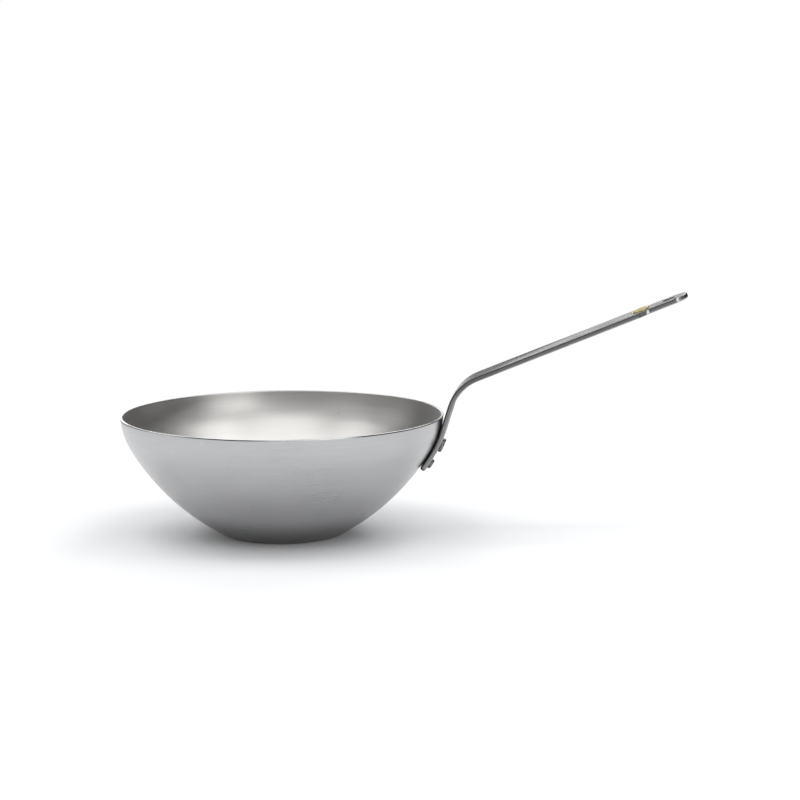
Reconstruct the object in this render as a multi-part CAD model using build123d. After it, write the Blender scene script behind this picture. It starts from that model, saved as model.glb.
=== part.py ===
from build123d import *
import math
import os

# A carbon steel wok: a deep round bowl with a flat base, and one long strip handle held by three rivets.
# Lengths are in millimetres and angles in degrees above level. The bowl's axis is Z, its base stands
# on Z = 0, and the handle runs out along +X.

# Bowl, pressed from one sheet. Its outside is a flat base and three arcs that run into each other.
rim_diameter = 280
bowl_height = 105.2
base_diameter = 94.8
sheet_thickness = 2
corner_radius = 10
wall_radius = 206
upper_radius = 64.5
rim_angle = 85.1

# Handle, one steel strip. Its pad follows the bowl's wall up to the riser, which leaves it straight.
strip_width = 32.4
strip_thickness = 4.6
edge_rounding = 1.5
pad_corner_radius = 3
seat_clearance = 0.05
pad_end_angle = 53.6
riser_angle = 72.4
riser_length = 26.2
bend_radius = 39.2
grip_angle = 21.75
grip_length = 146.8

# Handle end, narrower than the grip, with a hanging slot.
end_width = 25
end_length = 46
shoulder_radius = 13
slot_length = 16
slot_width = 10.5
slot_from_tip = 18
slot_rounding = 0.8

# Rivets: two side by side on the pad and one below them.
shank_diameter = 5
rivet_clearance = 0.05
head_diameter = 8.9
outer_head_height = 3.1
outer_head_rounding = 1.5
inner_head_height = 1.8
inner_head_rounding = 1
lower_rivet_from_end = 6.6
rivet_row_spacing = 18.6
rivet_pair_spacing = 21.5

# Badge, a plain oval plate on the grip.
badge_length = 15.5
badge_width = 17
badge_height = 1
badge_rounding = 0.6
badge_from_tip = 42.2

# Length by which a cutting tool reaches past what it cuts.
overrun = 1

# The largest rounding, as a share of the wall that carries it.
rounding_share = 0.9


def direction(angle):
    """Unit direction in the XZ plane, going outwards and up at an angle."""
    return Vector(math.cos(math.radians(angle)), math.sin(math.radians(angle)))


def outward(angle):
    """Unit normal of a wall at an angle, pointing away from the bowl and down."""
    return Vector(math.sin(math.radians(angle)), -math.cos(math.radians(angle)))


def angle_of(normal):
    """Angle of a wall whose outward normal is given."""
    return math.degrees(math.atan2(normal.X, -normal.Y))


def meeting_point(first, second, first_reach, second_reach):
    """Point at given distances from two points, on the left of the way from the first to the second."""
    way = second - first
    along = (way.length ** 2 + first_reach ** 2 - second_reach ** 2) / (2 * way.length)
    aside = math.sqrt(first_reach ** 2 - along ** 2)
    unit = way.normalized()
    return first + unit * along + Vector(-unit.Y, unit.X) * aside


# Centres of the bowl's three arcs. The wall's arc touches the corner's and the upper one from outside.
half_sheet = sheet_thickness / 2
rim_centre = Vector(rim_diameter / 2 - half_sheet, bowl_height - half_sheet)
corner_centre = Vector(base_diameter / 2, corner_radius)
upper_centre = rim_centre - outward(rim_angle) * (upper_radius - half_sheet)
wall_from_corner = wall_radius - corner_radius
wall_from_upper = wall_radius - upper_radius
wall_centre = meeting_point(corner_centre, upper_centre, wall_from_corner, wall_from_upper)
wall_start_angle = angle_of(corner_centre - wall_centre)
upper_start_angle = angle_of(upper_centre - wall_centre)


def wall_arcs(inset):
    """The bowl's arcs, moved into the sheet by an inset from its outside."""
    wall_turn = upper_start_angle - wall_start_angle
    upper_turn = rim_angle - upper_start_angle
    return [
        CenterArc(corner_centre, corner_radius - inset, -90, wall_start_angle),
        CenterArc(wall_centre, wall_radius - inset, wall_start_angle - 90, wall_turn),
        CenterArc(upper_centre, upper_radius - inset, upper_start_angle - 90, upper_turn),
    ]


def bowl_shell(thickness):
    """The bowl as a solid of a given wall thickness, measured inwards from its outside, with a round rim."""
    half = thickness / 2
    round_centre = upper_centre + outward(rim_angle) * (upper_radius - half)
    outline = wall_arcs(0) + wall_arcs(thickness) + [
        CenterArc(round_centre, half, rim_angle - 90, 180),
        Line((0, 0), (base_diameter / 2, 0)),
        Line((0, 0), (0, thickness)),
        Line((0, thickness), (base_diameter / 2, thickness)),
    ]
    return revolve(Plane.XZ * make_face(outline), Axis.Z)


# Mid-line of the strip, from where it leaves the bowl to its tip.
half_strip = strip_thickness / 2
riser_foot = upper_centre + outward(riser_angle) * (upper_radius + seat_clearance + half_strip)
riser_top = riser_foot + direction(riser_angle) * riser_length
bend_centre = riser_top + outward(riser_angle) * bend_radius
grip_start = bend_centre - outward(grip_angle) * bend_radius
grip_end = grip_start + direction(grip_angle) * grip_length
tip = grip_end + direction(grip_angle) * end_length


def pad_arcs(gap):
    """Arcs at a gap from the bowl's outside, from the pad's end to the riser."""
    lower_start = min(pad_end_angle, upper_start_angle)
    upper_start = max(pad_end_angle, upper_start_angle)
    arcs = [CenterArc(upper_centre, upper_radius + gap, upper_start - 90, riser_angle - upper_start)]
    if lower_start < upper_start_angle:
        turn = upper_start - lower_start
        arcs.insert(0, CenterArc(wall_centre, wall_radius + gap, lower_start - 90, turn))
    return arcs


def strip_skin(shift):
    """The strip's mid-line moved towards the bowl and the grip's top, or away from them if negative."""
    return pad_arcs(seat_clearance + half_strip - shift) + [
        Line(riser_foot - outward(riser_angle) * shift, riser_top - outward(riser_angle) * shift),
        CenterArc(bend_centre, bend_radius + shift, riser_angle + 90, grip_angle - riser_angle),
        Line(grip_start - outward(grip_angle) * shift, grip_end - outward(grip_angle) * shift),
    ]


def in_space(point):
    """A point of the XZ plane as a point in space."""
    return Vector(point.X, 0, point.Y)


# Plane on the grip's mid-line at its tip. Its X runs out along the grip, and its Z stands off its top.
grip_way = in_space(direction(grip_angle))
grip_plane = Plane(in_space(tip), x_dir=grip_way, z_dir=in_space(-outward(grip_angle)))


def handle_bar():
    """The strip with its bends, up to its narrower end."""
    top_skin = strip_skin(half_strip)
    under_skin = strip_skin(-half_strip)
    ends = [
        Line(top_skin[0] @ 0, under_skin[0] @ 0),
        Line(top_skin[-1] @ 1, under_skin[-1] @ 1),
    ]
    return extrude(Plane.XZ * make_face(top_skin + under_skin + ends), strip_width / 2, both=True)


def handle_end():
    """The narrower end: two arcs bring each side in, and a half round closes it."""
    step = (strip_width - end_width) / 2
    shoulder = math.sqrt(step * (4 * shoulder_radius - step))
    turn = math.degrees(math.asin(shoulder / (2 * shoulder_radius)))
    outer_centre = (-end_length, strip_width / 2 - shoulder_radius)
    inner_centre = (shoulder - end_length, end_width / 2 + shoulder_radius)
    side = [
        CenterArc(outer_centre, shoulder_radius, 90, -turn),
        CenterArc(inner_centre, shoulder_radius, 270 - turn, turn),
        Line((shoulder - end_length, end_width / 2), (-end_width / 2, end_width / 2)),
        CenterArc((-end_width / 2, 0), end_width / 2, 0, 90),
    ]
    opposite = [mirror(edge, about=Plane.XZ) for edge in side]
    start = Line((-end_length, -strip_width / 2), (-end_length, strip_width / 2))
    outline = make_face(side + opposite + [start])
    return extrude(grip_plane * outline, half_strip, both=True)


def limited(rounding, wall):
    """A rounding, or the most that its wall leaves room for."""
    return min(rounding, wall * rounding_share)


def sharp_edges(solid):
    """Edges where two faces meet at a corner, not those where one face runs smoothly into the next."""
    found = []
    for edge in solid.edges():
        middle = edge @ 0.5
        sides = [face for face in solid.faces() if any(edge.is_same(own) for own in face.edges())]
        normals = [face.normal_at(middle) for face in sides]
        if len(normals) == 2 and normals[0].get_angle(normals[1]) > 45:
            found.append(edge)
    return found


def rivet_places():
    """Where the rivets stand on the pad, by name."""
    upper_row = lower_rivet_from_end + rivet_row_spacing
    return {
        "rivet_left": (upper_row, rivet_pair_spacing / 2),
        "rivet_right": (upper_row, -rivet_pair_spacing / 2),
        "rivet_lower": (lower_rivet_from_end, 0),
    }


def rivet_plane(place):
    """Plane on the strip's mid-line at a rivet, with X up the pad and Z pointing out of it."""
    pad_line = Wire(pad_arcs(seat_clearance + half_strip))
    centre = pad_line.position_at(place[0], position_mode=PositionMode.LENGTH)
    way = pad_line.tangent_at(place[0], position_mode=PositionMode.LENGTH)
    plane = Plane(in_space(centre), x_dir=in_space(way), z_dir=in_space(Vector(way.Y, -way.X)))
    return Plane(plane.location * Pos(0, place[1], 0))


def shank_top():
    """How far the shank's end lies beyond the strip's mid-line, towards the bowl's inside."""
    return half_strip + seat_clearance + sheet_thickness + rivet_pair_spacing ** 2 / rim_diameter


def rivet_holes():
    """Cutting tools for the rivets' holes, through the strip and the bowl."""
    length = half_strip + shank_top() + 2 * overrun
    drill = Cylinder(shank_diameter / 2 + rivet_clearance, length)
    tool = Pos(0, 0, half_strip + overrun - length / 2) * drill
    return [rivet_plane(place) * tool for place in rivet_places().values()]


def rounded_disc(height, rounding):
    """A rivet's head standing on the plane Z = 0, rounded at its top."""
    disc = extrude(Circle(head_diameter / 2), height)
    return fillet(disc.edges().group_by(Axis.Z)[-1], limited(rounding, height))


def inner_face(plane):
    """Where a rivet's axis comes out on the bowl's inside, measured along it from the strip's mid-line."""
    axis = Axis(plane.origin, plane.z_dir)
    crossings = bowl_shell(sheet_thickness).find_intersection_points(axis)
    heights = sorted((plane.to_local_coords(point).Z for point, normal in crossings), key=abs)
    return heights[1]


def rivet(place):
    """One rivet: a high head on the strip, a shank, and a low head that takes the bowl's curve."""
    plane = rivet_plane(place)
    inside = inner_face(plane)
    outer_head = Pos(0, 0, half_strip) * rounded_disc(outer_head_height, outer_head_rounding)
    shank_length = half_strip + inner_head_height / 2 - inside
    shank = Pos(0, 0, half_strip - shank_length / 2) * Cylinder(shank_diameter / 2, shank_length)
    blank = rounded_disc(half_sheet + inner_head_height, inner_head_rounding)
    inner_head = plane * Pos(0, 0, inside + half_sheet) * Rot(180, 0, 0) * blank
    inner_head -= bowl_shell(sheet_thickness + seat_clearance)
    return plane * (outer_head + shank) + inner_head


def bowl():
    """The bowl with its three rivet holes."""
    return bowl_shell(sheet_thickness) - rivet_holes()


def handle():
    """The whole strip, rounded all over, with its hanging slot and rivet holes."""
    strip = handle_bar() + handle_end()
    pad_corners = strip.edges().filter_by(Axis((0, 0, 0), in_space(outward(pad_end_angle))))
    strip = fillet(pad_corners.sort_by(Axis.Z)[:2], pad_corner_radius)
    strip = fillet(sharp_edges(strip), limited(edge_rounding, half_strip))
    slot_outline = grip_plane * Pos(-slot_from_tip, 0, 0) * SlotOverall(slot_length, slot_width)
    strip -= extrude(slot_outline, half_strip + overrun, both=True)
    strip = fillet(sharp_edges(strip), limited(slot_rounding, half_strip))
    return strip - rivet_holes()


def badge():
    """The oval plate on the grip, rounded at its top."""
    plate = extrude(Ellipse(badge_length / 2, badge_width / 2), badge_height)
    plate = fillet(plate.edges().group_by(Axis.Z)[-1], limited(badge_rounding, badge_height))
    return grip_plane * Pos(-badge_from_tip, 0, half_strip) * plate


pieces = {"bowl": bowl(), "handle": handle(), "badge": badge()}
for name, place in rivet_places().items():
    pieces[name] = rivet(place)

os.makedirs("parts", exist_ok=True)
for name, piece in pieces.items():
    export_step(piece, f"parts/{name}.step")
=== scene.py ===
# %% [markdown]
# # A carbon steel wok
# The pan is one pressed bowl, one bent strip for a handle, three rivets and a small oval plate. Its sizes
# are settled already, in a frame that this notebook loads and never moves. What is left is how the pan
# looks: the grey of worked steel, the soft light of a studio and the small marks that tools and hands leave.

# %% Load the frame
import math

import bpy
from mathutils import Matrix, Vector


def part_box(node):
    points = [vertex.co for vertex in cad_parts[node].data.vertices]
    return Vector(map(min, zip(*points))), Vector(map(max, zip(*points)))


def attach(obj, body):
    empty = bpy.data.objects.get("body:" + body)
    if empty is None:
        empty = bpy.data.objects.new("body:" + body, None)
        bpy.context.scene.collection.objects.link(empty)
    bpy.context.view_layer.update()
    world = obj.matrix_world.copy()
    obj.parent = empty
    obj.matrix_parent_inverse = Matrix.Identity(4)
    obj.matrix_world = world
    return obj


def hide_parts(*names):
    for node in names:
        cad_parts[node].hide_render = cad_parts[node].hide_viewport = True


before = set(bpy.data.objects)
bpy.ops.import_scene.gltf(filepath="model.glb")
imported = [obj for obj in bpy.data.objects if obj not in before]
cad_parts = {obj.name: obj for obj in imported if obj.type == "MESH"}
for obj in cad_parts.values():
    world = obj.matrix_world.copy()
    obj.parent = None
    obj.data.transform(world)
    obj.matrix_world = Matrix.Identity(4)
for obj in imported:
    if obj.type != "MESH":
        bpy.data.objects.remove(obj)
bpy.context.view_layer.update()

scene = bpy.context.scene
mm = 0.001

# %% [markdown]
# ## The camera
# A product is photographed from far away with a long lens, so that round things stay round. The lens
# here is 135 mm on a sensor 36 mm wide. The camera looks down by almost nine degrees, and the handle
# points five degrees towards it. A camera could be dragged into place by hand. Here its place is worked
# out from where in the image the middle of the pan's base lies and how far away that is, so it stays exact.

# %% Set up the camera
image_side = 800
lens = 0.135
sensor_width = 0.036
camera_turn = math.radians(5)
camera_tilt = math.radians(8.68)
camera_roll = math.radians(-0.427)
base_distance = 2.6175
base_pixel = (283.8, 533.0)

pixel_at_base = base_distance * sensor_width / lens / image_side
turned = Matrix.Rotation(camera_turn, 4, "Z")
tilted = Matrix.Rotation(math.pi / 2 - camera_tilt, 4, "X")
rolled = Matrix.Rotation(camera_roll, 4, "Z")
aim = turned @ tilted @ rolled
across = (base_pixel[0] - image_side / 2) * pixel_at_base
up = (image_side / 2 - base_pixel[1]) * pixel_at_base
camera_data = bpy.data.cameras.new("studio_camera")
camera_data.lens = lens / mm
camera_data.sensor_width = sensor_width / mm
camera = bpy.data.objects.new("studio_camera", camera_data)
scene.collection.objects.link(camera)
camera.matrix_world = Matrix.Translation(aim @ Vector((-across, -up, base_distance))) @ aim
scene.camera = camera
scene.view_settings.view_transform = "Standard"
print("camera at", camera.matrix_world.translation)

# %% [markdown]
# ## Helpers for node trees
# Materials, lights and shapes are all built from nodes here. They could be drawn by hand in the editor, but
# a script can be read and repeated. Four helpers keep it short: one adds a node with its settings, one joins
# an output to an input, one starts a material, and one gives a neutral colour.

# %% Node helpers


def add_node(tree, kind, values=None, **settings):
    """Add a node to a tree, with its settings and the values of its inputs."""
    node = tree.nodes.new(kind)
    for name, value in settings.items():
        setattr(node, name, value)
    for socket, value in (values or {}).items():
        node.inputs[socket].default_value = value
    return node


def join(tree, output, target):
    """Join an output socket to an input socket."""
    tree.links.new(output, target)


def new_material(name):
    """A material with an empty tree, and that tree's output node."""
    material = bpy.data.materials.new(name)
    material.use_nodes = True
    material.node_tree.nodes.clear()
    output = add_node(material.node_tree, "ShaderNodeOutputMaterial")
    return material, material.node_tree, output


def grey(level):
    """A neutral colour."""
    return (level, level, level, 1)


# %% [markdown]
# ## The floor
# The pan stands on white paper that runs out of sight. Close to the pan the paper is lit like any other
# thing, so it shows the pan's soft shadow. Further out it turns into plain white for the camera and for
# reflections, as a studio's lit background would. A bent sheet of paper could do the same, but one flat
# plane leaves no bend to be mirrored in the steel.

# %% Lay the floor
floor_half = 30
floor_white = (0.812, 0.82, 0.83, 1)
floor_lift = 0.04
paper_near = 0.45
paper_far = 1.1

floor_mesh = bpy.data.meshes.new("floor")
corners = [(-floor_half, -floor_half, 0), (floor_half, -floor_half, 0)]
corners += [(floor_half, floor_half, 0), (-floor_half, floor_half, 0)]
floor_mesh.from_pydata(corners, [], [(0, 1, 2, 3)])
floor = bpy.data.objects.new("floor", floor_mesh)
scene.collection.objects.link(floor)

floor_material, tree, output = new_material("floor_paper")
paths = add_node(tree, "ShaderNodeLightPath")
seen = add_node(tree, "ShaderNodeMath", operation="MAXIMUM")
join(tree, paths.outputs["Is Camera Ray"], seen.inputs[0])
join(tree, paths.outputs["Is Glossy Ray"], seen.inputs[1])
place = add_node(tree, "ShaderNodeTexCoord")
distance = add_node(tree, "ShaderNodeVectorMath", operation="LENGTH")
join(tree, place.outputs["Object"], distance.inputs[0])
far_away = add_node(tree, "ShaderNodeMapRange", {"From Min": paper_near, "From Max": paper_far},
                    interpolation_type="SMOOTHSTEP")
join(tree, distance.outputs["Value"], far_away.inputs["Value"])
far_and_seen = add_node(tree, "ShaderNodeMath", operation="MULTIPLY")
join(tree, far_away.outputs[0], far_and_seen.inputs[0])
join(tree, seen.outputs[0], far_and_seen.inputs[1])
lift = add_node(tree, "ShaderNodeMath", {1: floor_lift}, operation="MULTIPLY")
join(tree, seen.outputs[0], lift.inputs[0])
paper = add_node(tree, "ShaderNodeBsdfDiffuse", {"Color": floor_white})
glow = add_node(tree, "ShaderNodeEmission")
join(tree, lift.outputs[0], glow.inputs["Strength"])
near_paper = add_node(tree, "ShaderNodeAddShader")
join(tree, paper.outputs[0], near_paper.inputs[0])
join(tree, glow.outputs[0], near_paper.inputs[1])
far_paper_glow = add_node(tree, "ShaderNodeEmission")
whole_paper = add_node(tree, "ShaderNodeMixShader")
join(tree, far_and_seen.outputs[0], whole_paper.inputs[0])
join(tree, near_paper.outputs[0], whole_paper.inputs[1])
join(tree, far_paper_glow.outputs[0], whole_paper.inputs[2])
join(tree, whole_paper.outputs[0], output.inputs["Surface"])
floor_mesh.materials.append(floor_material)

# %% [markdown]
# ## The studio's light
# Steel is a dull mirror, so its look is mostly that of the room around it. A photographer puts it into a
# tent of large soft panels. An image of a real room could light it as well, but panels can be set one by
# one. Each is a square lamp at the same distance that faces the pan. The room itself stays dark between
# them, which gives the thin dark lines along the rim and the handle.

# %% Set up the room
room_level = 0
backdrop_level = 1

world = bpy.data.worlds.new("studio")
scene.world = world
world.use_nodes = True
tree = world.node_tree
tree.nodes.clear()
output = add_node(tree, "ShaderNodeOutputWorld")
room = add_node(tree, "ShaderNodeBackground", {"Color": grey(1), "Strength": room_level})
backdrop = add_node(tree, "ShaderNodeBackground", {"Color": grey(1), "Strength": backdrop_level})
paths = add_node(tree, "ShaderNodeLightPath")
mix = add_node(tree, "ShaderNodeMixShader")
join(tree, paths.outputs["Is Camera Ray"], mix.inputs[0])
join(tree, room.outputs[0], mix.inputs[1])
join(tree, backdrop.outputs[0], mix.inputs[2])
join(tree, mix.outputs[0], output.inputs["Surface"])

# %% Hang the panels
# Directions and heights are in degrees. Direction 0 is in front of the pan and 90 is on its handle's side.
# Each pair after a height is a direction with the power of the panel there, in watts.
panel_distance = 1.9
panel_target = Vector((0, 0, 60 * mm))
wide_panel = 1.3
narrow_panel = 0.9
wide_panels = {
    12: [(0, 1.6), (45, 8), (270, 2), (315, 2)],
    36: [(0, 2), (45, 4), (90, 2), (270, 2), (315, 3)],
    62: [(0, 9), (90, 12), (270, 12)],
    88: [(0, 3)],
}
narrow_panels = {
    5: [(180, 2.6), (205, 9)],
    40: [(155, 9), (205, 6)],
}


def hang_panel(direction, height, size, power):
    """A square lamp that faces the pan and that the camera doesn't see."""
    turn = math.radians(direction)
    rise = math.radians(height)
    way = Vector((math.sin(turn) * math.cos(rise), -math.cos(turn) * math.cos(rise), math.sin(rise)))
    data = bpy.data.lights.new(f"panel_{direction}_{height}", "AREA")
    data.shape = "SQUARE"
    data.size = size
    data.energy = power
    lamp = bpy.data.objects.new(data.name, data)
    scene.collection.objects.link(lamp)
    lamp.visible_camera = False
    facing = (-way).to_track_quat("-Z", "Y").to_matrix().to_4x4()
    lamp.matrix_world = Matrix.Translation(panel_target + way * panel_distance) @ facing


for size, panels in ((wide_panel, wide_panels), (narrow_panel, narrow_panels)):
    for height, row in panels.items():
        for direction, power in row:
            hang_panel(direction, height, size, power)
print("panels", sum(len(row) for panels in (wide_panels, narrow_panels) for row in panels.values()))

# %% [markdown]
# ## Helpers for surfaces
# A finish is worked out from the place of a point on the piece, step by step. Most of these helpers add one
# such step and return its result, so that a material reads like a short calculation. The last one adds the
# metal itself. Nodes joined by hand would do the same, but the steps are many and alike.

# %% Surface helpers
# A noise hardly ever reaches 0 or 1. These ranges hold nearly all, most or many of its values.
nearly_all = (0.2, 0.8)
most = (0.25, 0.75)
many = (0.3, 0.7)
print("shares of a noise's range that hold its values", nearly_all, most, many)


def calculate(tree, operation, *terms):
    """Add one step of arithmetic on sockets or plain numbers and return its result."""
    node = add_node(tree, "ShaderNodeMath", operation=operation)
    for socket, term in zip(node.inputs, terms):
        if isinstance(term, (int, float)):
            socket.default_value = term
        else:
            join(tree, term, socket)
    return node.outputs[0]


def remap(tree, value, low, high, to_low, to_high):
    """Turn a range of values softly into another range."""
    node = add_node(tree, "ShaderNodeMapRange", interpolation_type="SMOOTHSTEP")
    for name, number in zip(("From Min", "From Max", "To Min", "To Max"), (low, high, to_low, to_high)):
        node.inputs[name].default_value = number
    join(tree, value, node.inputs["Value"])
    return node.outputs[0]


def vector_of(tree, *parts):
    """Three sockets or numbers as one vector."""
    node = add_node(tree, "ShaderNodeCombineXYZ")
    for socket, part in zip(node.inputs, parts):
        if isinstance(part, (int, float)):
            socket.default_value = part
        else:
            join(tree, part, socket)
    return node.outputs[0]


def noise(tree, vector, scale=1, detail=2, roughness=0.5):
    """Smooth random values between 0 and 1 at the places given by a vector."""
    values = {"Scale": scale, "Detail": detail, "Roughness": roughness}
    node = add_node(tree, "ShaderNodeTexNoise", values)
    join(tree, vector, node.inputs["Vector"])
    return node.outputs["Fac"]


def blend_colours(tree, share, first, second):
    """A colour between two others, each of them a colour or a socket."""
    node = add_node(tree, "ShaderNodeMix", data_type="RGBA")
    join(tree, share, node.inputs[0])
    for socket, colour in ((node.inputs[6], first), (node.inputs[7], second)):
        if isinstance(colour, tuple):
            socket.default_value = colour
        else:
            join(tree, colour, socket)
    return node.outputs[2]


def blend_numbers(tree, share, first, second):
    """A number between two others, each of them a number or a socket."""
    rest = calculate(tree, "MULTIPLY", calculate(tree, "SUBTRACT", 1, share), first)
    return calculate(tree, "ADD", rest, calculate(tree, "MULTIPLY", share, second))


def object_place(tree):
    """The place of a point on its piece, as a vector and as its three parts."""
    place = add_node(tree, "ShaderNodeTexCoord").outputs["Object"]
    split = add_node(tree, "ShaderNodeSeparateXYZ")
    join(tree, place, split.inputs[0])
    return place, split.outputs[0], split.outputs[1], split.outputs[2]


def add_metal(tree, output, colour, roughness, height, relief):
    """The metal shader, with its colour and roughness from sockets and a relief in metres."""
    metal = add_node(tree, "ShaderNodeBsdfPrincipled", {"Metallic": 1})
    join(tree, colour, metal.inputs["Base Color"])
    join(tree, roughness, metal.inputs["Roughness"])
    bump = add_node(tree, "ShaderNodeBump", {"Distance": relief})
    join(tree, height, bump.inputs["Height"])
    join(tree, bump.outputs["Normal"], metal.inputs["Normal"])
    join(tree, metal.outputs[0], output.inputs["Surface"])


# %% [markdown]
# ## The steel of the bowl
# The sheet was polished by a belt while it turned, so its marks run round the bowl. A noise that is
# stretched round the axis gives them. Its vector is the direction from the axis, which closes on itself
# without a seam, and the sum of radius and height, which grows steadily from the base to the rim. Lines
# drawn on an unrolled map would need a seam. Outside the steel is bare and cool in colour. Near its foot
# it is painted darker, a painted reflection of the shaded floor. Inside it has a thin protective film,
# duller and warmer.

# %% Mix the bowl's steel
outside_steel = (0.5, 0.5, 0.508, 1)
inside_steel = (0.512, 0.506, 0.493, 1)
rim_steel = (0.66, 0.66, 0.66, 1)
outside_roughness = 0.3
inside_roughness = 0.37
rim_roughness = 0.16
hair_lines_per_metre = 2600
fine_lines_per_metre = 650
broad_lines_per_metre = 250
lines_around = 3
cloud_size = 35 * mm
# The outside is painted darker near its foot, painted shade for the shaded floor it mirrors, fading out
# between these heights.
foot_low = 2 * mm
foot_high = 30 * mm
foot_painted_shade = 0.43
rim_mark = (0.22, 0.245)

worked_steel, tree, output = new_material("worked_steel")
place, x, y, z = object_place(tree)
from_axis = vector_of(tree, x, y, 0)
radius_node = add_node(tree, "ShaderNodeVectorMath", operation="LENGTH")
join(tree, from_axis, radius_node.inputs[0])
radius = radius_node.outputs["Value"]
up_the_wall = calculate(tree, "ADD", radius, z)
round_x = calculate(tree, "MULTIPLY", calculate(tree, "DIVIDE", x, radius), lines_around)
round_y = calculate(tree, "MULTIPLY", calculate(tree, "DIVIDE", y, radius), lines_around)


def turned_lines(per_metre, detail):
    """Lines that run round the bowl."""
    along = calculate(tree, "MULTIPLY", up_the_wall, per_metre)
    return noise(tree, vector_of(tree, round_x, round_y, along), detail=detail)


hair_lines = turned_lines(hair_lines_per_metre, 1)
fine_lines = turned_lines(fine_lines_per_metre, 0)
broad_lines = turned_lines(broad_lines_per_metre, 3)
clouds = noise(tree, place, 1 / cloud_size, 3)
side_node = add_node(tree, "ShaderNodeAttribute", attribute_name="zone", attribute_type="GEOMETRY")
inside = side_node.outputs["Fac"]
outside = calculate(tree, "SUBTRACT", 1, inside)
on_rim = remap(tree, calculate(tree, "MULTIPLY", inside, outside), *rim_mark, 0, 1)

# %% Finish the rim
# The top of the rim was ground bright. Along its outer corner a dark line is painted in a few places, a
# painted reflection of the dark room between the panels. Each is given by the angle of its middle round the
# bowl and half its length, both in degrees, and by how far it reaches below the rim, in millimetres.
rim_painted_dark_line = (0.04, 0.04, 0.041, 1)
painted_line_places = [(-163, 9, 1.9), (-105, 15, 0.9), (-36, 22, 1.1), (70, 25, 1), (150, 12, 1.4)]
painted_line_fade = 6
painted_line_edge = 0.25
outer_corner = (0.36, 0.46)

angle_round = calculate(tree, "ARCTAN2", y, x)
degrees_round = calculate(tree, "MULTIPLY", angle_round, math.degrees(1))
below_rim = calculate(tree, "MULTIPLY", calculate(tree, "SUBTRACT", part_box("bowl")[1].z, z), 1 / mm)
painted_line_so_far = None
for middle, half, depth in painted_line_places:
    apart = calculate(tree, "ABSOLUTE", calculate(tree, "SUBTRACT", degrees_round, middle))
    here = remap(tree, apart, half - painted_line_fade, half + painted_line_fade, 1, 0)
    high = remap(tree, below_rim, depth - painted_line_edge, depth + painted_line_edge, 1, 0)
    patch = calculate(tree, "MULTIPLY", here, high)
    painted_line_so_far = patch if painted_line_so_far is None else calculate(tree, "MAXIMUM", painted_line_so_far, patch)
# This mask is the painted dark reflection along the rim's outer corner.
skin = calculate(tree, "MULTIPLY", remap(tree, inside, *outer_corner, 1, 0), painted_line_so_far)

# %% [markdown]
# ## Marks of handling
# A pan that has been stacked and carried has a few faint marks. Each one here is a soft streak at a place
# of its own: its angle round the bowl, its place up the wall, its length and width, how it slants, and how
# much lighter it is. Inside the bowl are a dark speck and two light flecks. They could be cut into the mesh,
# but marks this shallow only change how the steel shines.

# %% Scratch the bowl a little
# A mark's angle and slant are in degrees and its other sizes in millimetres. Its place up the wall is the
# sum of radius and height, as in the lines, and a strength below 0 makes it darker.
mark_radius = 136 * mm
outer_marks = [
    (-124.7, 225, 10, 2, -72, 1),
    (-111.4, 240, 4, 2.5, 20, 0.8),
    (-80.4, 224, 24, 1, 18, 0.7),
    (-111.4, 182.5, 5, 1.8, 8, 0.5),
    (-106, 184, 4, 1.6, 4, 0.5),
    (-62, 236, 14, 1.2, -6, 0.35),
    (40, 205, 22, 1, 35, 0.6),
    (95, 170, 12, 1.4, -20, 0.5),
    (150, 214, 16, 1.1, 12, 0.6),
    (-165, 190, 10, 1.5, -35, 0.5),
]
inner_marks = [
    (74.7, 219, 2.4, 2, 0, -2.5),
    (54.1, 229, 6, 1.2, 10, 1),
    (128, 205, 9, 1.2, -25, 0.6),
]
mark_contrast = 0.2

unrolled = vector_of(tree, calculate(tree, "MULTIPLY", angle_round, mark_radius), up_the_wall, 0)


def soft_mark(turn, height, length, width, slant, strength):
    """One soft streak on the unrolled wall."""
    fit = add_node(tree, "ShaderNodeMapping", {
        "Location": (math.radians(turn) * mark_radius, height * mm, 0),
        "Rotation": (0, 0, math.radians(slant)),
        "Scale": (length * mm / 2, width * mm / 2, 1),
    }, vector_type="TEXTURE")
    join(tree, unrolled, fit.inputs["Vector"])
    spot = add_node(tree, "ShaderNodeTexGradient", gradient_type="SPHERICAL")
    join(tree, fit.outputs["Vector"], spot.inputs["Vector"])
    return calculate(tree, "MULTIPLY", spot.outputs["Fac"], strength * mark_contrast)


def sum_of(tree, terms):
    """Add several sockets."""
    total = terms[0]
    for term in terms[1:]:
        total = calculate(tree, "ADD", total, term)
    return total


marks_outside = sum_of(tree, [soft_mark(*mark) for mark in outer_marks])
marks_inside = sum_of(tree, [soft_mark(*mark) for mark in inner_marks])
marks = blend_numbers(tree, inside, marks_outside, marks_inside)
print("handling marks", len(outer_marks), "outside and", len(inner_marks), "inside")

# %% Put the bowl's steel together
broad_shade = 0.02
fine_shade = 0.015
cloud_shade = 0.015
broad_dullness = 0.015
hair_dullness = 0.008
cloud_dullness = 0.02
mark_dullness = 0.4
line_relief = 0.001 * mm

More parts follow.
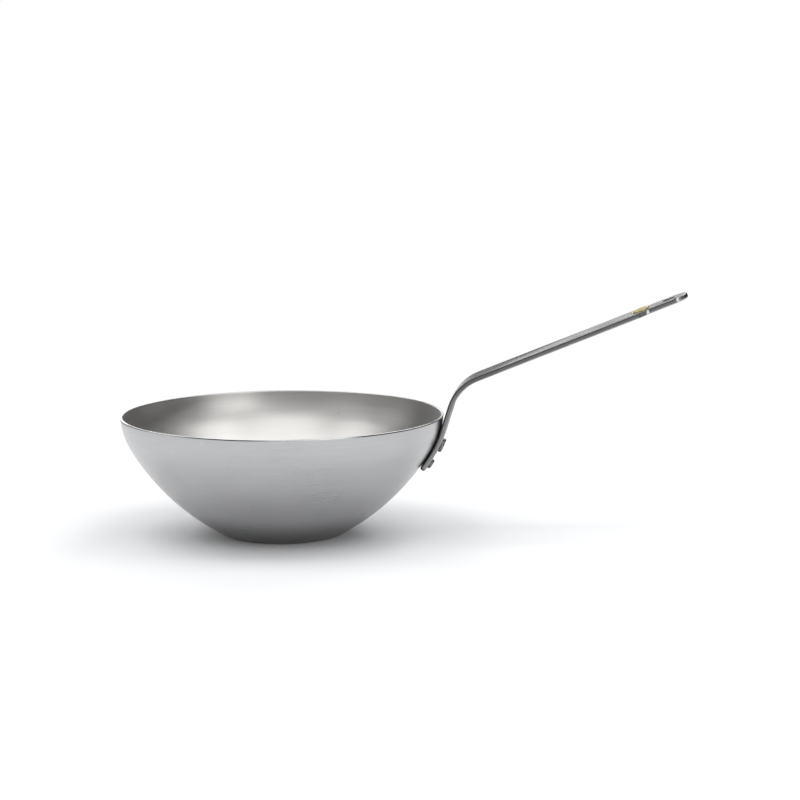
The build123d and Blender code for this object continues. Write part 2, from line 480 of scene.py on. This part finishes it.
steel_colour = blend_colours(tree, inside, outside_steel, inside_steel)
steel_colour = blend_colours(tree, on_rim, steel_colour, rim_steel)
# The rim's painted dark reflection is laid over the steel here.
steel_colour = blend_colours(tree, skin, steel_colour, rim_painted_dark_line)
# Painted shade: the outside is darkened towards the foot, where it mirrors the shaded floor.
painted_dark_foot = blend_numbers(tree, inside, remap(tree, z, foot_low, foot_high, foot_painted_shade, 1), 1)
shade = sum_of(tree, [
    remap(tree, broad_lines, *most, -broad_shade, broad_shade),
    remap(tree, fine_lines, *nearly_all, -fine_shade, fine_shade),
    remap(tree, clouds, *many, -cloud_shade, cloud_shade),
    marks,
    painted_dark_foot,
])
shaded = add_node(tree, "ShaderNodeVectorMath", operation="SCALE")
join(tree, steel_colour, shaded.inputs[0])
join(tree, shade, shaded.inputs["Scale"])
roughness = blend_numbers(tree, inside, outside_roughness, inside_roughness)
roughness = blend_numbers(tree, on_rim, roughness, rim_roughness)
roughness = sum_of(tree, [
    roughness,
    remap(tree, broad_lines, *most, -broad_dullness, broad_dullness),
    remap(tree, hair_lines, *nearly_all, -hair_dullness, hair_dullness),
    remap(tree, clouds, *many, -cloud_dullness, cloud_dullness),
    calculate(tree, "ABSOLUTE", calculate(tree, "MULTIPLY", marks, mark_dullness)),
])
add_metal(tree, output, shaded.outputs[0], roughness, fine_lines, line_relief)

# %% [markdown]
# ## The bowl's line
# A pressed bowl has a simple cross-section. From the flat base, a tight corner leads into a long shallow
# wall, and that into a rounder stretch that stands almost upright at the rim. Each of them is an arc, and
# each arc runs smoothly into the next one. A row of points could follow it too, but arcs stay smooth at any
# size. Their centres are worked out here, in the pan's own section, with the distance from the axis first
# and the height second.

# %% Work out the bowl's arcs
bowl_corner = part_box("bowl")[1]
rim_radius = bowl_corner.x
bowl_height = bowl_corner.z
base_radius = 47.4 * mm
sheet = 2 * mm
corner_radius = 10 * mm
wall_radius = 206 * mm
upper_radius = 64.5 * mm
rim_angle = math.radians(85.1)


def outward(angle):
    """Unit normal of a wall at an angle above level, pointing out of the bowl."""
    return Vector((math.sin(angle), -math.cos(angle)))


def angle_of(normal):
    """Angle above level of a wall with that outward normal."""
    return math.atan2(normal.x, -normal.y)


def meeting_point(first, second, first_reach, second_reach):
    """Point at given distances from two points, on the left of the way between them."""
    way = second - first
    along = (way.length ** 2 + first_reach ** 2 - second_reach ** 2) / (2 * way.length)
    aside = math.sqrt(first_reach ** 2 - along ** 2)
    unit = way.normalized()
    return first + unit * along + Vector((-unit.y, unit.x)) * aside


rim_centre = Vector((rim_radius - sheet / 2, bowl_height - sheet / 2))
corner_centre = Vector((base_radius, corner_radius))
upper_centre = rim_centre - outward(rim_angle) * (upper_radius - sheet / 2)
wall_from_corner = wall_radius - corner_radius
wall_from_upper = wall_radius - upper_radius
wall_centre = meeting_point(corner_centre, upper_centre, wall_from_corner, wall_from_upper)
wall_angle = angle_of(corner_centre - wall_centre)
upper_angle = angle_of(upper_centre - wall_centre)
print("wall starts at", math.degrees(wall_angle), "and turns rounder at", math.degrees(upper_angle))

# %% [markdown]
# ## Turned shapes
# The bowl and the rivets are shapes that follow one rule, a line turned about an axis, so Geometry Nodes
# make them. Each arc or straight stretch is a curve of its own. Together they are the profile, and Curve
# to Mesh carries that profile round a tiny circle on the axis. Merge by Distance then closes the poles and
# the joints between stretches. A spin in mesh code would do as well, but in a tree every size of the line
# is a named input, so one tree can make pans of many sizes.

# %% Shape helpers
tiny = 0.01 * mm
quarter = math.pi / 2


class Shape:
    """A geometry node tree under construction, with its named inputs and their values."""

    def __init__(self, name):
        self.tree = bpy.data.node_groups.new(name, "GeometryNodeTree")
        self.tree.interface.new_socket("Geometry", in_out="OUTPUT", socket_type="NodeSocketGeometry")
        self.tree.interface.new_socket("Geometry", in_out="INPUT", socket_type="NodeSocketGeometry")
        self.inputs = add_node(self.tree, "NodeGroupInput")
        self.values = {}

    def value(self, name, value, kind="NodeSocketFloat"):
        """Add a named input, remember its value and return its socket."""
        socket = self.tree.interface.new_socket(name, in_out="INPUT", socket_type=kind)
        self.values[socket.identifier] = value
        return self.inputs.outputs[name]

    def step(self, kind, source, values=None, **settings):
        """Add a node that works on a geometry and return what it makes."""
        node = add_node(self.tree, kind, values, **settings)
        join(self.tree, source, node.inputs[0])
        return node.outputs[0]

    def stretch(self, profile, curve, zone):
        """Add a curve to a profile, marked with a number that tells its finish."""
        marked = self.step("GeometryNodeStoreNamedAttribute", curve, {"Name": "zone", "Value": zone},
                           data_type="FLOAT", domain="POINT")
        join(self.tree, marked, profile.inputs[0])

    def arc(self, profile, name, centre, radius, start, turn, steps, zone=0.0):
        """Add an arc to a profile. Curve to Mesh takes a profile's heights as counting downwards."""
        node = add_node(self.tree, "GeometryNodeCurveArc", {"Resolution": steps}, mode="RADIUS")
        join(self.tree, self.value(name + " Radius", radius), node.inputs["Radius"])
        join(self.tree, self.value(name + " Start", -start), node.inputs["Start Angle"])
        join(self.tree, self.value(name + " Turn", -turn), node.inputs["Sweep Angle"])
        move = add_node(self.tree, "GeometryNodeTransform")
        join(self.tree, node.outputs["Curve"], move.inputs["Geometry"])
        shift = self.value(name + " Centre", (centre[0] - tiny, -centre[1], 0), "NodeSocketVector")
        join(self.tree, shift, move.inputs["Translation"])
        self.stretch(profile, move.outputs["Geometry"], zone)

    def line(self, profile, name, start, end, steps, zone=0.0):
        """Add a straight stretch to a profile."""
        node = add_node(self.tree, "GeometryNodeCurvePrimitiveLine")
        for socket, word, point in (("Start", " From", start), ("End", " To", end)):
            corner = self.value(name + word, (point[0] - tiny, -point[1], 0), "NodeSocketVector")
            join(self.tree, corner, node.inputs[socket])
        divided = self.step("GeometryNodeResampleCurve", node.outputs["Curve"], {"Count": steps})
        self.stretch(profile, divided, zone)

    def turn(self, profile, steps):
        """Turn a profile about the axis and close the result."""
        values = {"Resolution": steps, "Radius": tiny}
        path = add_node(self.tree, "GeometryNodeCurvePrimitiveCircle", values, mode="RADIUS")
        skin = add_node(self.tree, "GeometryNodeCurveToMesh")
        join(self.tree, path.outputs["Curve"], skin.inputs["Curve"])
        join(self.tree, profile.outputs[0], skin.inputs["Profile Curve"])
        closed = self.step("GeometryNodeMergeByDistance", skin.outputs["Mesh"], {"Distance": 2 * tiny})
        facing_out = self.step("GeometryNodeFlipFaces", closed)
        return self.step("GeometryNodeSetShadeSmooth", facing_out)

    def finish(self, geometry, material):
        """End the tree with its material."""
        real = self.step("GeometryNodeRealizeInstances", geometry)
        dressed = self.step("GeometryNodeSetMaterial", real, {"Material": material})
        join(self.tree, dressed, add_node(self.tree, "NodeGroupOutput").inputs["Geometry"])

    def piece(self, name, mesh=None):
        """Run the tree on a mesh, or on nothing, and return the result as a plain mesh object."""
        carrier = bpy.data.objects.new(name + "_carrier", mesh or bpy.data.meshes.new(name + "_carrier"))
        scene.collection.objects.link(carrier)
        modifier = carrier.modifiers.new("shape", "NODES")
        modifier.node_group = self.tree
        for identifier, value in self.values.items():
            modifier[identifier] = value
        evaluated = carrier.evaluated_get(bpy.context.evaluated_depsgraph_get())
        result = bpy.data.meshes.new_from_object(evaluated)
        result.name = name
        bpy.data.objects.remove(carrier)
        piece = bpy.data.objects.new(name, result)
        scene.collection.objects.link(piece)
        print(name, len(result.vertices), "points", len(result.polygons), "faces")
        return piece


# %% [markdown]
# ## The bowl
# The line starts on the axis under the base, climbs the outside, goes over the rounded rim and comes down
# the inside to the axis again. Each stretch also carries which side of the sheet it is on, 0 outside and 1
# inside, and the steel reads that to know where the film lies. The rim's three parts carry numbers between
# those two, so that its ground top and its outer corner can be told apart as well.

# %% Turn the bowl
bowl_shape = Shape("bowl_shape")
bowl_line = add_node(bowl_shape.tree, "GeometryNodeJoinGeometry")
inner_corner = corner_radius - sheet
inner_wall = wall_radius - sheet
inner_upper = upper_radius - sheet
wall_turn = upper_angle - wall_angle
upper_turn = rim_angle - upper_angle
wall_start = wall_angle - quarter
upper_start = upper_angle - quarter
rim_start = rim_angle - quarter
base_steps = 12
corner_steps = 10
wall_steps = 36
upper_steps = 24
bowl_turn_steps = 288

bowl_shape.line(bowl_line, "Base", (0, 0), (base_radius, 0), base_steps)
bowl_shape.arc(bowl_line, "Corner", corner_centre, corner_radius, -quarter, wall_angle, corner_steps)
bowl_shape.arc(bowl_line, "Wall", wall_centre, wall_radius, wall_start, wall_turn, wall_steps)
bowl_shape.arc(bowl_line, "Upper", upper_centre, upper_radius, upper_start, upper_turn, upper_steps)

# Each part of the rim has its turn in degrees, its steps and its number between outside and inside.
rim_parts = [("Rim Outer", 62, 6, 0.3), ("Rim Top", 38, 5, 0.5), ("Rim Inner", 80, 6, 0.8)]
rim_now = rim_start
for name, degrees, steps, zone in rim_parts:
    turn = math.radians(degrees)
    bowl_shape.arc(bowl_line, name, rim_centre, sheet / 2, rim_now, turn, steps, zone)
    rim_now += turn
bowl_shape.arc(bowl_line, "Inner Upper", upper_centre, inner_upper, rim_start, -upper_turn, upper_steps, 1)
bowl_shape.arc(bowl_line, "Inner Wall", wall_centre, inner_wall, upper_start, -wall_turn, wall_steps, 1)
bowl_shape.arc(bowl_line, "Inner Corner", corner_centre, inner_corner, wall_start, -wall_angle,
               corner_steps, 1)
bowl_shape.line(bowl_line, "Inner Base", (base_radius, sheet), (0, sheet), base_steps, 1)
bowl_shape.finish(bowl_shape.turn(bowl_line, bowl_turn_steps), worked_steel)

bowl_piece = bowl_shape.piece("bowl_sheet")
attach(bowl_piece, "root")
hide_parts("bowl")

# %% [markdown]
# ## The steel of the handle
# The handle is a strip of hot-rolled steel, darker than the bowl. Its rolled faces have fine lines along
# the strip. Its long edges are painted lighter as a painted highlight, its sides darker as painted shade,
# and near the bend the grip is painted darker and made rougher, a painted dark reflection. The frame's own
# handle has the right shape already, so it stays and only gets this finish. The edges could be marked by
# hand on the mesh, but here the surface's own direction tells them apart. The lines keep to the strip
# because they change fast across its width and slowly along it.

# %% Mix the handle's steel
face_colour = (0.24, 0.242, 0.245, 1)
shaded_side_colour = (0.15, 0.151, 0.153, 1)
lit_riser_side_colour = (0.24, 0.24, 0.242, 1)
painted_dark_line_colour = (0.085, 0.085, 0.087, 1)
bend_painted_dark = (0.1, 0.103, 0.107, 1)
edge_highlight_colour = (0.33, 0.33, 0.33, 1)
turned_side_highlight_colour = (0.6, 0.6, 0.59, 1)
strip_roughness = 0.28
bend_patch_roughness = 0.62
strip_lines_per_metre = 1500
strip_stretch = 14
bend_patch_end = 216 * mm
bend_patch_start = 150 * mm
bend_patch_slant = 2.2
bend_patch_fade = 20 * mm
raggedness = 30 * mm
pits_per_metre = 900
clouds_per_metre = 60

rolled_steel, tree, output = new_material("rolled_steel")
place, x, y, z = object_place(tree)
across_lines = calculate(tree, "MULTIPLY", y, strip_lines_per_metre)
along_x = calculate(tree, "MULTIPLY", x, strip_stretch)
along_z = calculate(tree, "MULTIPLY", z, strip_stretch)
rolled_lines = noise(tree, vector_of(tree, along_x, across_lines, along_z), detail=2)
pitting = noise(tree, place, pits_per_metre, 3, 0.6)
clouds = noise(tree, place, clouds_per_metre, 3)
# The mask scale below marks the painted dark reflection near the bend, with a slanted, ragged edge.
ragged = calculate(tree, "MULTIPLY", calculate(tree, "SUBTRACT", clouds, 0.5), raggedness)
slanted = calculate(tree, "SUBTRACT", x, calculate(tree, "MULTIPLY", y, bend_patch_slant))
slanted = calculate(tree, "ADD", slanted, ragged)
before_end = remap(tree, slanted, bend_patch_end - bend_patch_fade, bend_patch_end + bend_patch_fade, 1, 0)
past_start = remap(tree, x, bend_patch_start - bend_patch_fade, bend_patch_start + bend_patch_fade, 0, 1)
scale = calculate(tree, "MULTIPLY", before_end, past_start)

# %% Tell the strip's faces, edges and sides apart
# The part of the surface's direction that points across the strip is 0 on its faces and 1 on its sides.
# It lies between them on the rounded edges. A second part tells the inner or top edge from the other one.
# The faces' edges are painted bright, a painted highlight, and below them a painted dark reflection runs
# as a dark line along the sides. Where the outline narrows, at the shoulder and at the tip, the sides turn
# a little way along the grip and get a painted highlight. Just before the shoulder a dark patch is painted,
# a painted dark reflection.
grip_angle = math.radians(21.75)
tip_start = 328 * mm
tip_fade = 3 * mm
shoulder = 315 * mm
dark_patch_start = 308 * mm
inward_share = 0.75
edge_begins = (0.12, 0.3)
edge_ends = (0.5, 0.7)
side_begins = (0.6, 0.85)
lower_edge = (-0.45, -0.15)
dark_line_begins = (0.01, 0.12)
dark_line_side = (0.58, 0.72)
turns_ahead = (0.12, 0.3)
faces_ahead = (0.25, 0.4)
highlight_side = (0.45, 0.65)
edge_highlight_clouds = (0.3, 0.6)
least_edge_highlight = 0.5

facing = add_node(tree, "ShaderNodeSeparateXYZ")
join(tree, add_node(tree, "ShaderNodeTexCoord").outputs["Normal"], facing.inputs[0])
sideways = calculate(tree, "ABSOLUTE", facing.outputs[1])
ahead = calculate(tree, "ADD", calculate(tree, "MULTIPLY", facing.outputs[0], math.cos(grip_angle)),
                  calculate(tree, "MULTIPLY", facing.outputs[2], math.sin(grip_angle)))
inwards = calculate(tree, "SUBTRACT", facing.outputs[2], facing.outputs[0])
inwards = calculate(tree, "MULTIPLY", inwards, inward_share)
off_face = remap(tree, sideways, *edge_begins, 0, 1)
on_lower_edge = calculate(tree, "MULTIPLY", remap(tree, inwards, *lower_edge, 1, 0), off_face)
above_lower_edge = calculate(tree, "SUBTRACT", 1, on_lower_edge)
on_side = calculate(tree, "MULTIPLY", remap(tree, sideways, *side_begins, 0, 1), above_lower_edge)
on_edge = calculate(tree, "MULTIPLY", off_face, remap(tree, sideways, *edge_ends, 1, 0))
# Painted highlight on the rounded edges, uneven in patches.
lit_edges = calculate(tree, "MAXIMUM", on_edge, on_lower_edge)
lit_edges = calculate(tree, "MULTIPLY", lit_edges, remap(tree, clouds, *edge_highlight_clouds, least_edge_highlight, 1))
# Painted dark reflection: a dark patch before the shoulder and a dark line along the sides' upper edges.
painted_dark_patch = calculate(tree, "MULTIPLY", remap(tree, x, dark_patch_start - mm, dark_patch_start + mm, 0, 1),
                     remap(tree, x, shoulder - mm, shoulder, 1, 0))
painted_dark_line = calculate(tree, "MAXIMUM", remap(tree, inwards, *dark_line_begins, 0, 1), painted_dark_patch)
painted_dark_line = calculate(tree, "MULTIPLY", painted_dark_line, remap(tree, sideways, *dark_line_side, 0, 1))
# Painted highlight where the sides turn along the grip, at the shoulder and at the tip.
before_tip = remap(tree, x, tip_start - tip_fade, tip_start + tip_fade, 1, 0)
turned_out = calculate(tree, "MAXIMUM", before_tip, remap(tree, ahead, *faces_ahead, 1, 0))
turned_side_highlight = calculate(tree, "MULTIPLY", remap(tree, ahead, *turns_ahead, 0, 1), turned_out)
turned_side_highlight = calculate(tree, "MULTIPLY", turned_side_highlight, remap(tree, x, shoulder - mm, shoulder + mm, 0, 1))
turned_side_highlight = calculate(tree, "MULTIPLY", turned_side_highlight, remap(tree, sideways, *highlight_side, 0, 1))

# %% Put the handle's steel together
bend_low = 142 * mm
bend_high = 162 * mm
pit_begins = (0.55, 0.75)
line_shade = 0.05
pit_shade = 0.08
cloud_shade = 0.05
line_dullness = 0.03
cloud_dullness = 0.04
grain_relief = 0.002 * mm

# Near the bend the grip is painted darker, a painted dark reflection.
colour = blend_colours(tree, scale, face_colour, bend_painted_dark)
# The rounded edges get their painted highlight here.
colour = blend_colours(tree, lit_edges, colour, edge_highlight_colour)
# The sides are painted darker than the faces as painted shade, less dark on the riser.
side = blend_colours(tree, remap(tree, x, bend_low, bend_high, 0, 1), lit_riser_side_colour, shaded_side_colour)
colour = blend_colours(tree, on_side, colour, side)
# The painted dark reflection along the sides and before the shoulder.
colour = blend_colours(tree, painted_dark_line, colour, painted_dark_line_colour)
# The painted highlight at the shoulder and the tip.
colour = blend_colours(tree, turned_side_highlight, colour, turned_side_highlight_colour)
shade = sum_of(tree, [
    remap(tree, rolled_lines, *most, 1 - line_shade, 1 + line_shade),
    remap(tree, pitting, *pit_begins, 0, -pit_shade),
    remap(tree, clouds, *many, -cloud_shade, cloud_shade),
])
shaded = add_node(tree, "ShaderNodeVectorMath", operation="SCALE")
join(tree, colour, shaded.inputs[0])
join(tree, shade, shaded.inputs["Scale"])
roughness = blend_numbers(tree, scale, strip_roughness, bend_patch_roughness)
roughness = sum_of(tree, [
    roughness,
    remap(tree, rolled_lines, *most, -line_dullness, line_dullness),
    remap(tree, clouds, *many, -cloud_dullness, cloud_dullness),
])
grain = calculate(tree, "ADD", rolled_lines, pitting)
add_metal(tree, output, shaded.outputs[0], roughness, grain, grain_relief)

# %% Dress the handle


def dress(name, material):
    """Give a node of the frame its material."""
    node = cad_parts[name]
    node.data.materials.clear()
    node.data.materials.append(material)
    print(name, "wears", material.name, "on", len(node.data.polygons), "faces")


dress("handle", rolled_steel)

# %% [markdown]
# ## The rivets
# Three steel rivets hold the strip. Each has a high round head outside, made in a die, and a low one
# inside that was hammered down on the spot. No two of them are quite alike, so a slow noise moves the skin
# of every head by a few hundredths of a millimetre. The heads could be copied by hand, but they repeat, so
# they are instances on points, and each point carries the direction of its rivet. Every rivet stands square
# to the arc of wall below it.

# %% Find the rivets' places
strip_thickness = 4.6 * mm
seat_clearance = 0.05 * mm
rivet_names = ("rivet_left", "rivet_right", "rivet_lower")


def rivet_seats(name):
    """The seats of a rivet's outer and inner head, each with its direction."""
    low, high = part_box(name)
    middle = (low + high) / 2
    in_section = Vector((middle.x, middle.z))
    on_upper_arc = angle_of(in_section - upper_centre) > upper_angle
    centre, reach = (upper_centre, upper_radius) if on_upper_arc else (wall_centre, wall_radius)
    out = (in_section - centre).normalized()
    direction = Vector((out.x, 0, out.y))
    curve = middle.y ** 2 / (2 * rim_radius)
    outer = centre + out * (reach + seat_clearance + strip_thickness)
    inside = centre + out * (reach - sheet - curve)
    return [(Vector((outer.x, middle.y, outer.y)), direction, 0.0),
            (Vector((inside.x, middle.y, inside.y)), -direction, 1.0)]


seats = [seat for name in rivet_names for seat in rivet_seats(name)]
seat_mesh = bpy.data.meshes.new("rivet_seats")
seat_mesh.from_pydata([seat[0] for seat in seats], [], [])
axes = seat_mesh.attributes.new("axis", "FLOAT_VECTOR", "POINT")
axes.data.foreach_set("vector", [part for seat in seats for part in seat[1]])
kinds = seat_mesh.attributes.new("hammered", "FLOAT", "POINT")
kinds.data.foreach_set("value", [seat[2] for seat in seats])
print("rivet seats", [tuple(round(part / mm, 1) for part in seat[0]) for seat in seats])

# %% Shape the rivets
head_radius = 4.45 * mm
head_height = 3.1 * mm
head_rounding = 1.5 * mm
low_height = 1.8 * mm
low_rounding = 1.1 * mm
seat_rounding = 0.3 * mm
seat_depth = 0.5 * mm
crown = 0.25 * mm
shank_radius = 2.5 * mm
shank_length = 7.5 * mm
flat_steps = 3
foot_side_steps = 2
seat_edge_steps = 5
edge_steps = 9
top_steps = 6
rivet_turn_steps = 40

rivet_shape = Shape("rivet_shape")


def head_profile(name, height, rounding, foot):
    """A head that stands on height 0, with its foot below, as a line from the foot to the crown."""
    line = add_node(rivet_shape.tree, "GeometryNodeJoinGeometry")
    foot_radius, foot_depth = foot
    foot_corner = (foot_radius, -foot_depth)
    rivet_shape.line(line, name + " Foot End", (0, -foot_depth), foot_corner, flat_steps)
    rivet_shape.line(line, name + " Foot Side", foot_corner, (foot_radius, 0), foot_side_steps)
    seat_end = head_radius - seat_rounding
    rivet_shape.line(line, name + " Seat", (foot_radius, 0), (seat_end, 0), flat_steps)
    rivet_shape.arc(line, name + " Seat Edge", (seat_end, seat_rounding), seat_rounding, -quarter, quarter,
                    seat_edge_steps)
    edge_centre = (head_radius - rounding, height - crown - rounding)
    side_end = (head_radius, edge_centre[1])
    rivet_shape.line(line, name + " Side", (head_radius, seat_rounding), side_end, flat_steps)
    rivet_shape.arc(line, name + " Edge", edge_centre, rounding, 0, quarter, edge_steps, zone=0.5)
    top_start = (edge_centre[0], height - crown)
    rivet_shape.line(line, name + " Top", top_start, (0, height), top_steps, zone=1)
    return rivet_shape.turn(line, rivet_turn_steps)


def named_value(name, data_type):
    """An attribute that the points carry."""
    node = add_node(rivet_shape.tree, "GeometryNodeInputNamedAttribute", {"Name": name}, data_type=data_type)
    return node.outputs["Attribute"]


def placed(head, selection):
    """A head on each chosen seat, turned to the direction of that seat."""
    stand = add_node(rivet_shape.tree, "GeometryNodeInstanceOnPoints")
    join(rivet_shape.tree, rivet_shape.inputs.outputs["Geometry"], stand.inputs["Points"])
    join(rivet_shape.tree, selection, stand.inputs["Selection"])
    join(rivet_shape.tree, head, stand.inputs["Instance"])
    aligned = add_node(rivet_shape.tree, "FunctionNodeAlignRotationToVector", axis="Z")
    join(rivet_shape.tree, named_value("axis", "FLOAT_VECTOR"), aligned.inputs["Vector"])
    join(rivet_shape.tree, aligned.outputs[0], stand.inputs["Rotation"])
    return stand.outputs[0]


die_head = head_profile("Head", head_height, head_rounding, (shank_radius, shank_length))
low_head = head_profile("Low Head", low_height, low_rounding, (head_radius - seat_rounding, seat_depth))
hammered = named_value("hammered", "FLOAT")
is_hammered = add_node(rivet_shape.tree, "FunctionNodeCompare", {"B": 0.5}, data_type="FLOAT")
join(rivet_shape.tree, hammered, is_hammered.inputs["A"])
is_die_made = add_node(rivet_shape.tree, "FunctionNodeBooleanMath", operation="NOT")
join(rivet_shape.tree, is_hammered.outputs[0], is_die_made.inputs[0])
heads = add_node(rivet_shape.tree, "GeometryNodeJoinGeometry")
join(rivet_shape.tree, placed(die_head, is_die_made.outputs[0]), heads.inputs[0])
join(rivet_shape.tree, placed(low_head, is_hammered.outputs[0]), heads.inputs[0])

# %% Hammer the rivets
unevenness = 0.08 * mm
dent_size = 2.6 * mm
rivet_seed = 7

real_heads = rivet_shape.step("GeometryNodeRealizeInstances", heads.outputs[0])
dents = add_node(rivet_shape.tree, "ShaderNodeTexNoise", {"Detail": 1}, noise_dimensions="4D")
join(rivet_shape.tree, rivet_shape.value("Dents Per Metre", 1 / dent_size), dents.inputs["Scale"])
join(rivet_shape.tree, rivet_shape.value("Seed", float(rivet_seed)), dents.inputs["W"])
centred = add_node(rivet_shape.tree, "ShaderNodeMath", {1: 0.5}, operation="SUBTRACT")
join(rivet_shape.tree, dents.outputs[0], centred.inputs[0])
depth = add_node(rivet_shape.tree, "ShaderNodeMath", operation="MULTIPLY")
join(rivet_shape.tree, centred.outputs[0], depth.inputs[0])
join(rivet_shape.tree, rivet_shape.value("Unevenness", unevenness), depth.inputs[1])
shift = add_node(rivet_shape.tree, "ShaderNodeVectorMath", operation="SCALE")
join(rivet_shape.tree, add_node(rivet_shape.tree, "GeometryNodeInputNormal").outputs[0], shift.inputs[0])
join(rivet_shape.tree, depth.outputs[0], shift.inputs["Scale"])
uneven = add_node(rivet_shape.tree, "GeometryNodeSetPosition")
join(rivet_shape.tree, real_heads, uneven.inputs["Geometry"])
join(rivet_shape.tree, shift.outputs[0], uneven.inputs["Offset"])

# %% [markdown]
# ## The steel of the rivets
# The heads are of the same dark steel as the strip. Their tops are painted lighter, a painted highlight,
# and their sides darker, painted shade. The marks of the blows are small and shallow. The strip's steel
# could serve here too, but its lines would run across the heads, so these get a steel of their own that
# mottles instead.

# %% Mix the rivets' steel
rivet_shaded_side_colour = (0.15, 0.151, 0.154, 1)
rivet_lit_top_colour = (0.27, 0.271, 0.274, 1)
top_begins = (0.3, 0.9)
blows_per_metre = 700
patches_per_metre = 220
blow_shade = 0.1
patch_shade = 0.15
patch_roughness = (0.2, 0.3)
blow_relief = 0.01 * mm

struck_steel, tree, output = new_material("struck_steel")
place = object_place(tree)[0]
struck = noise(tree, place, blows_per_metre, 3, 0.6)
patches = noise(tree, place, patches_per_metre, 2)
zone_node = add_node(tree, "ShaderNodeAttribute", attribute_name="zone", attribute_type="GEOMETRY")
zone = zone_node.outputs["Fac"]
# Painted highlight on the tops and painted shade on the sides of the heads.
colour = blend_colours(tree, remap(tree, zone, *top_begins, 0, 1), rivet_shaded_side_colour, rivet_lit_top_colour)
shaded = add_node(tree, "ShaderNodeVectorMath", operation="SCALE")
join(tree, colour, shaded.inputs[0])
shade = calculate(tree, "MULTIPLY", remap(tree, struck, *many, 1 - blow_shade, 1 + blow_shade),
                  remap(tree, patches, *many, 1 - patch_shade, 1 + patch_shade))
join(tree, shade, shaded.inputs["Scale"])
roughness = remap(tree, patches, *many, *patch_roughness)
add_metal(tree, output, shaded.outputs[0], roughness, struck, blow_relief)

# %% Set the rivets
rivet_shape.finish(uneven.outputs[0], struck_steel)
rivets = rivet_shape.piece("rivets", seat_mesh)
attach(rivets, "root")
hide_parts(*rivet_names)

# %% [markdown]
# ## The brass plate
# A small oval plate of yellow metal sits on the grip. It could be made again as a mesh, but the frame's own
# plate has the right shape, so it stays. Its finish is brushed brass along the grip, with a thin brown
# tarnish in patches.

# %% Dress the plate
brass_colour = (0.53, 0.43, 0.17, 1)
tarnish_colour = (0.41, 0.3, 0.1, 1)
brush_along = 60
brush_across = 3000
tarnish_per_metre = 130
tarnish_begins = (0.4, 0.8)
brushed_roughness = (0.26, 0.34)
dull_patches = (0.4, 0.7)
tarnish_dullness = 0.08
brush_relief = 0.002 * mm

brass, tree, output = new_material("plate_brass")
place, x, y, z = object_place(tree)
along_x = calculate(tree, "MULTIPLY", x, brush_along)
across_y = calculate(tree, "MULTIPLY", y, brush_across)
along_z = calculate(tree, "MULTIPLY", z, brush_along)
brushed = noise(tree, vector_of(tree, along_x, across_y, along_z))
patches = noise(tree, place, tarnish_per_metre, 2)
tarnished = remap(tree, patches, *tarnish_begins, 0, 1)
colour = blend_colours(tree, tarnished, brass_colour, tarnish_colour)
roughness = calculate(tree, "ADD", remap(tree, brushed, *many, *brushed_roughness),
                      remap(tree, patches, *dull_patches, 0, tarnish_dullness))
add_metal(tree, output, colour, roughness, brushed, brush_relief)
dress("badge", brass)
